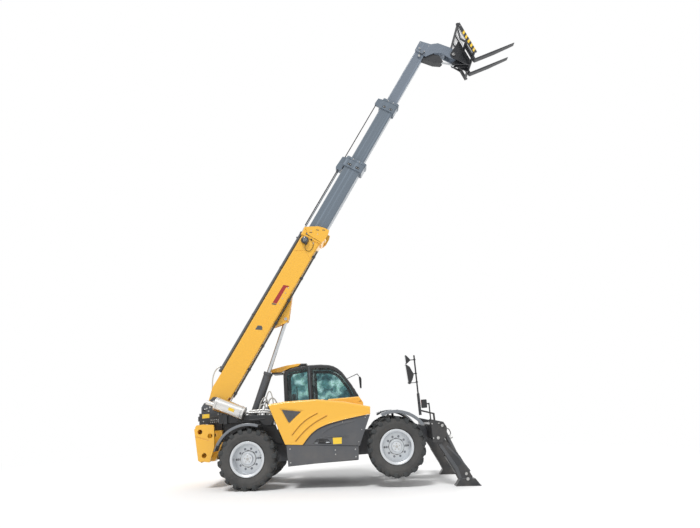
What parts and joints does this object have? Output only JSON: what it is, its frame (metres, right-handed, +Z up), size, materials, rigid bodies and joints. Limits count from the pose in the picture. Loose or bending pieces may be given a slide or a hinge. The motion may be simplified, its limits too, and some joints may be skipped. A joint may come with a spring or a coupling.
{
  "type": "telehandler",
  "caption": "Telescopic handler with a raised multi-section boom and pallet forks, side cab, hood and large lugged tyres, parked nose-up on its front stabilizers.",
  "frame": {"origin": "centre of the bounding box, on the ground under the machine", "axes": "+X forward along the machine, +Y to the machine's left, +Z up; the machine stands nose-up about 3.3 degrees on its rear wheels and front stabilizers"},
  "size_m": [7.8378, 2.36, 11.2491],
  "materials": {
    "yellow_paint": "satin",
    "charcoal_paint": "satin",
    "boom_grey": "satin",
    "black_paint": "satin",
    "dark_grey_paint": "satin",
    "chrome_rod": "polished",
    "cast_iron": "rough",
    "steel": "polished",
    "rim_silver": "satin",
    "tyre": "matt",
    "glass": "clear",
    "black_plastic": "matt",
    "seat_fabric": "matt"
  },
  "bodies": {
    "chassis": {"frame": "charcoal_paint", "counterweight": "yellow_paint", "front_axle": "cast_iron", "rear_axle": "cast_iron", "engine": "cast_iron", "engine_bay": "charcoal_paint", "exhaust": "steel", "fuel_tank": "black_plastic", "cab_shell": "black_paint", "cab_glass": "glass", "cab_roof": "yellow_paint", "cab_seat": "seat_fabric", "cab_controls": "black_plastic", "stabilizer_frame": "black_paint", "mirrors": "black_plastic", "front_lamp": "black_plastic", "rear_panel": "charcoal_paint"},
    "boom_base": {"boom_base": "yellow_paint", "extension_barrel": "dark_grey_paint", "pipe_tray": "dark_grey_paint", "boom_lamp": "black_plastic"},
    "boom_section_2": {"boom_section_2": "boom_grey", "extension_rod": "chrome_rod"},
    "boom_section_3": {"boom_section_3": "boom_grey", "hose_tube": "black_plastic"},
    "boom_section_4": {"boom_section_4": "boom_grey"},
    "carriage": {"fork_carriage": "black_paint", "forks": "black_paint"},
    "lift_barrel": {"lift_barrel": "dark_grey_paint"},
    "lift_rod": {"lift_rod": "chrome_rod"},
    "tilt_barrel": {"tilt_barrel": "dark_grey_paint"},
    "tilt_rod": {"tilt_rod": "chrome_rod"},
    "hood": {"hood": "yellow_paint"},
    "cab_door": {"cab_door": "black_paint", "door_glass": "glass"},
    "stabilizer_leg_left": {"stabilizer_leg_left": "black_paint"},
    "stabilizer_barrel_left": {"stabilizer_barrel_left": "dark_grey_paint"},
    "stabilizer_rod_left": {"stabilizer_rod_left": "chrome_rod"},
    "stabilizer_leg_right": {"stabilizer_leg_right": "black_paint"},
    "stabilizer_barrel_right": {"stabilizer_barrel_right": "dark_grey_paint"},
    "stabilizer_rod_right": {"stabilizer_rod_right": "chrome_rod"},
    "knuckle_front_left": {"knuckle_front_left": "cast_iron", "fender_front_left": "dark_grey_paint"},
    "wheel_front_left": {"rim_front_left": "rim_silver", "tyre_front_left": "tyre"},
    "knuckle_front_right": {"knuckle_front_right": "cast_iron", "fender_front_right": "dark_grey_paint"},
    "wheel_front_right": {"rim_front_right": "rim_silver", "tyre_front_right": "tyre"},
    "knuckle_rear_left": {"knuckle_rear_left": "cast_iron", "fender_rear_left": "dark_grey_paint"},
    "wheel_rear_left": {"rim_rear_left": "rim_silver", "tyre_rear_left": "tyre"},
    "knuckle_rear_right": {"knuckle_rear_right": "cast_iron", "fender_rear_right": "dark_grey_paint"},
    "wheel_rear_right": {"rim_rear_right": "rim_silver", "tyre_rear_right": "tyre"}
  },
  "joints": [
    {"name": "boom_lift", "type": "hinge", "parent": "chassis", "child": "boom_base", "pos_m": [-3.60944, 0, 1.70914], "axis": [0, -1, 0], "range_deg": [-59.4, 12.6]},
    {"name": "telescope", "type": "slide", "parent": "boom_base", "child": "boom_section_2", "axis": [0.4894, 0, 0.8721], "range_m": [-1.45, 1.9]},
    {"name": "telescope_section_3", "type": "slide", "parent": "boom_section_2", "child": "boom_section_3", "axis": [0.4894, 0, 0.8721], "range_m": [-1.451, 1.901]},
    {"name": "telescope_section_4", "type": "slide", "parent": "boom_section_3", "child": "boom_section_4", "axis": [0.4894, 0, 0.8721], "range_m": [-1.451, 1.901]},
    {"name": "fork_tilt", "type": "hinge", "parent": "boom_section_4", "child": "carriage", "pos_m": [2.3312, 0, 10.59921], "axis": [0, 1, 0], "range_deg": [-42, 55]},
    {"name": "tilt_barrel_hinge", "type": "hinge", "parent": "boom_section_4", "child": "tilt_barrel", "pos_m": [1.41821, 0, 10.607], "axis": [0, -1, 0], "range_deg": [-1.34, 1.03]},
    {"name": "tilt_rod_slide", "type": "slide", "parent": "tilt_barrel", "child": "tilt_rod", "axis": [0.9736, 0, -0.2281], "range_m": [-0.178, 0.1362]},
    {"name": "lift_barrel_hinge", "type": "hinge", "parent": "chassis", "child": "lift_barrel", "pos_m": [-2.91677, 0, 0.98782], "axis": [0, -1, 0], "range_deg": [-56.98, 12.13]},
    {"name": "lift_rod_slide", "type": "slide", "parent": "lift_barrel", "child": "lift_rod", "axis": [0.3078, 0, 0.9514], "range_m": [-0.9787, 0.2084]},
    {"name": "stabilizer_left", "type": "hinge", "parent": "chassis", "child": "stabilizer_leg_left", "pos_m": [1.14379, 1, 0.92145], "axis": [0, -1, 0], "range_deg": [0, 75]},
    {"name": "stabilizer_barrel_hinge_left", "type": "hinge", "parent": "chassis", "child": "stabilizer_barrel_left", "pos_m": [1.24036, 1, 1.1574], "axis": [0, -1, 0], "range_deg": [-0.05, 70.07]},
    {"name": "stabilizer_rod_slide_left", "type": "slide", "parent": "stabilizer_barrel_left", "child": "stabilizer_rod_left", "axis": [0.416, 0, -0.9094], "range_m": [-0.3048, 0.001]},
    {"name": "stabilizer_right", "type": "hinge", "parent": "chassis", "child": "stabilizer_leg_right", "pos_m": [1.14379, -1, 0.92145], "axis": [0, -1, 0], "range_deg": [0, 75]},
    {"name": "stabilizer_barrel_hinge_right", "type": "hinge", "parent": "chassis", "child": "stabilizer_barrel_right", "pos_m": [1.24036, -1, 1.1574], "axis": [0, -1, 0], "range_deg": [-0.05, 70.07]},
    {"name": "stabilizer_rod_slide_right", "type": "slide", "parent": "stabilizer_barrel_right", "child": "stabilizer_rod_right", "axis": [0.416, 0, -0.9094], "range_m": [-0.3048, 0.001]},
    {"name": "hood_lid", "type": "hinge", "parent": "chassis", "child": "hood", "pos_m": [-1.25643, -0.4, 1.72461], "axis": [-0.9983, 0, -0.0576], "range_deg": [0, 55]},
    {"name": "cab_door_hinge", "type": "hinge", "parent": "chassis", "child": "cab_door", "pos_m": [-1.47799, 1.14, 1.57161], "axis": [-0.0576, 0, 0.9983], "range_deg": [0, 80]},
    {"name": "steer_front", "type": "hinge", "parent": "chassis", "child": "knuckle_front_left", "pos_m": [0.30623, 0.76, 0.76798], "axis": [-0.0576, 0, 0.9983], "range_deg": [-30, 30]},
    {"name": "wheel_spin_front_left", "type": "hinge", "parent": "knuckle_front_left", "child": "wheel_front_left", "pos_m": [0.30623, 0.98, 0.76798], "axis": [0, 1, 0], "continuous": true},
    {"name": "steer_front_right", "type": "hinge", "parent": "chassis", "child": "knuckle_front_right", "pos_m": [0.30623, -0.76, 0.76798], "axis": [-0.0576, 0, 0.9983], "range_deg": [-30.05, 30.05]},
    {"name": "wheel_spin_front_right", "type": "hinge", "parent": "knuckle_front_right", "child": "wheel_front_right", "pos_m": [0.30623, -0.98, 0.76798], "axis": [0, 1, 0], "continuous": true},
    {"name": "steer_rear", "type": "hinge", "parent": "chassis", "child": "knuckle_rear_left", "pos_m": [-2.69378, 0.76, 0.595], "axis": [-0.0576, 0, 0.9983], "range_deg": [-30, 30]},
    {"name": "wheel_spin_rear_left", "type": "hinge", "parent": "knuckle_rear_left", "child": "wheel_rear_left", "pos_m": [-2.69378, 0.98, 0.595], "axis": [0, 1, 0], "continuous": true},
    {"name": "steer_rear_right", "type": "hinge", "parent": "chassis", "child": "knuckle_rear_right", "pos_m": [-2.69378, -0.76, 0.595], "axis": [-0.0576, 0, 0.9983], "range_deg": [-30.05, 30.05]},
    {"name": "wheel_spin_rear_right", "type": "hinge", "parent": "knuckle_rear_right", "child": "wheel_rear_right", "pos_m": [-2.69378, -0.98, 0.595], "axis": [0, 1, 0], "continuous": true}
  ],
  "couplings": [
    {"joint": "telescope_section_3", "follows": "telescope", "ratio": 1},
    {"joint": "telescope_section_4", "follows": "telescope", "ratio": 1},
    {"joint": "tilt_barrel_hinge", "follows": "fork_tilt", "ratio": -0.0234},
    {"joint": "tilt_rod_slide", "follows": "fork_tilt", "m_per_rad": -0.1844},
    {"joint": "lift_barrel_hinge", "follows": "boom_lift", "ratio": 0.9584},
    {"joint": "lift_rod_slide", "follows": "boom_lift", "m_per_rad": 0.9431},
    {"joint": "stabilizer_barrel_hinge_left", "follows": "stabilizer_left", "ratio": 0.9336},
    {"joint": "stabilizer_rod_slide_left", "follows": "stabilizer_left", "m_per_rad": -0.2321},
    {"joint": "stabilizer_barrel_hinge_right", "follows": "stabilizer_right", "ratio": 0.9336},
    {"joint": "stabilizer_rod_slide_right", "follows": "stabilizer_right", "m_per_rad": -0.2321},
    {"joint": "steer_front_right", "follows": "steer_front", "ratio": 1},
    {"joint": "steer_rear_right", "follows": "steer_rear", "ratio": 1}
  ]
}
